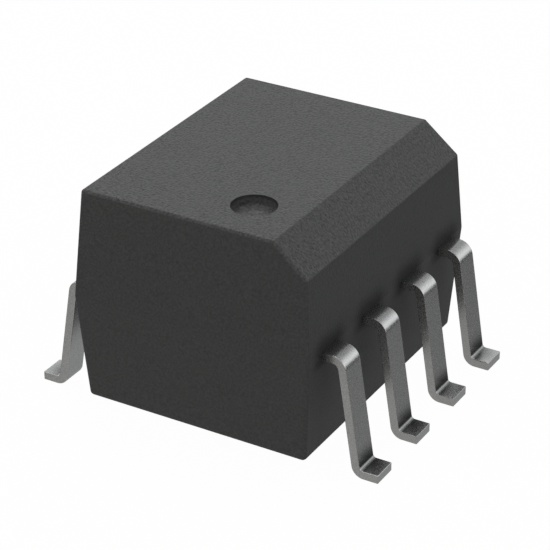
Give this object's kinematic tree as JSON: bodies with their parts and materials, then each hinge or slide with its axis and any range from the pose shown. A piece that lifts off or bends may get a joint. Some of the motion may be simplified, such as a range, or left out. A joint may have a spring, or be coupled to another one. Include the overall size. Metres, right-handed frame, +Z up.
{
  "type": "small-outline optocoupler chip",
  "caption": "Tall small-outline moulded optocoupler chip with gull-wing leads in two rows, a chamfer over the first row and a round dimple at the first pin.",
  "frame": {"origin": "centre of the lead pattern on the solder plane, under the middle of the body", "axes": "+X across the lead rows away from pin 1, +Y along the rows towards pin 1's end, +Z up away from the board"},
  "size_m": [0.006, 0.0052, 0.0038],
  "materials": {
    "moulding": "fine matt spark-eroded epoxy moulding, charcoal",
    "lead_finish": "satin tin plate over copper alloy",
    "emitter": "sawn semiconductor die",
    "detector": "polished silicon die",
    "die_adhesive": "dull silver-filled adhesive",
    "bond_gold": "bright gold wire",
    "silicone": "clear silicone gel"
  },
  "bodies": {
    "root": {"mould_body": "moulding", "lead_1": "lead_finish", "lead_2": "lead_finish", "lead_3": "lead_finish", "lead_4": "lead_finish", "lead_5": "lead_finish", "lead_6": "lead_finish", "lead_7": "lead_finish", "lead_8": "lead_finish", "emitter_die": "emitter", "emitter_attach": "die_adhesive", "detector_die": "detector", "detector_attach": "die_adhesive", "anode_wire": "bond_gold", "output_wire": "bond_gold", "enable_wire": "bond_gold", "supply_wire": "bond_gold", "light_guide": "silicone"}
  },
  "joints": []
}
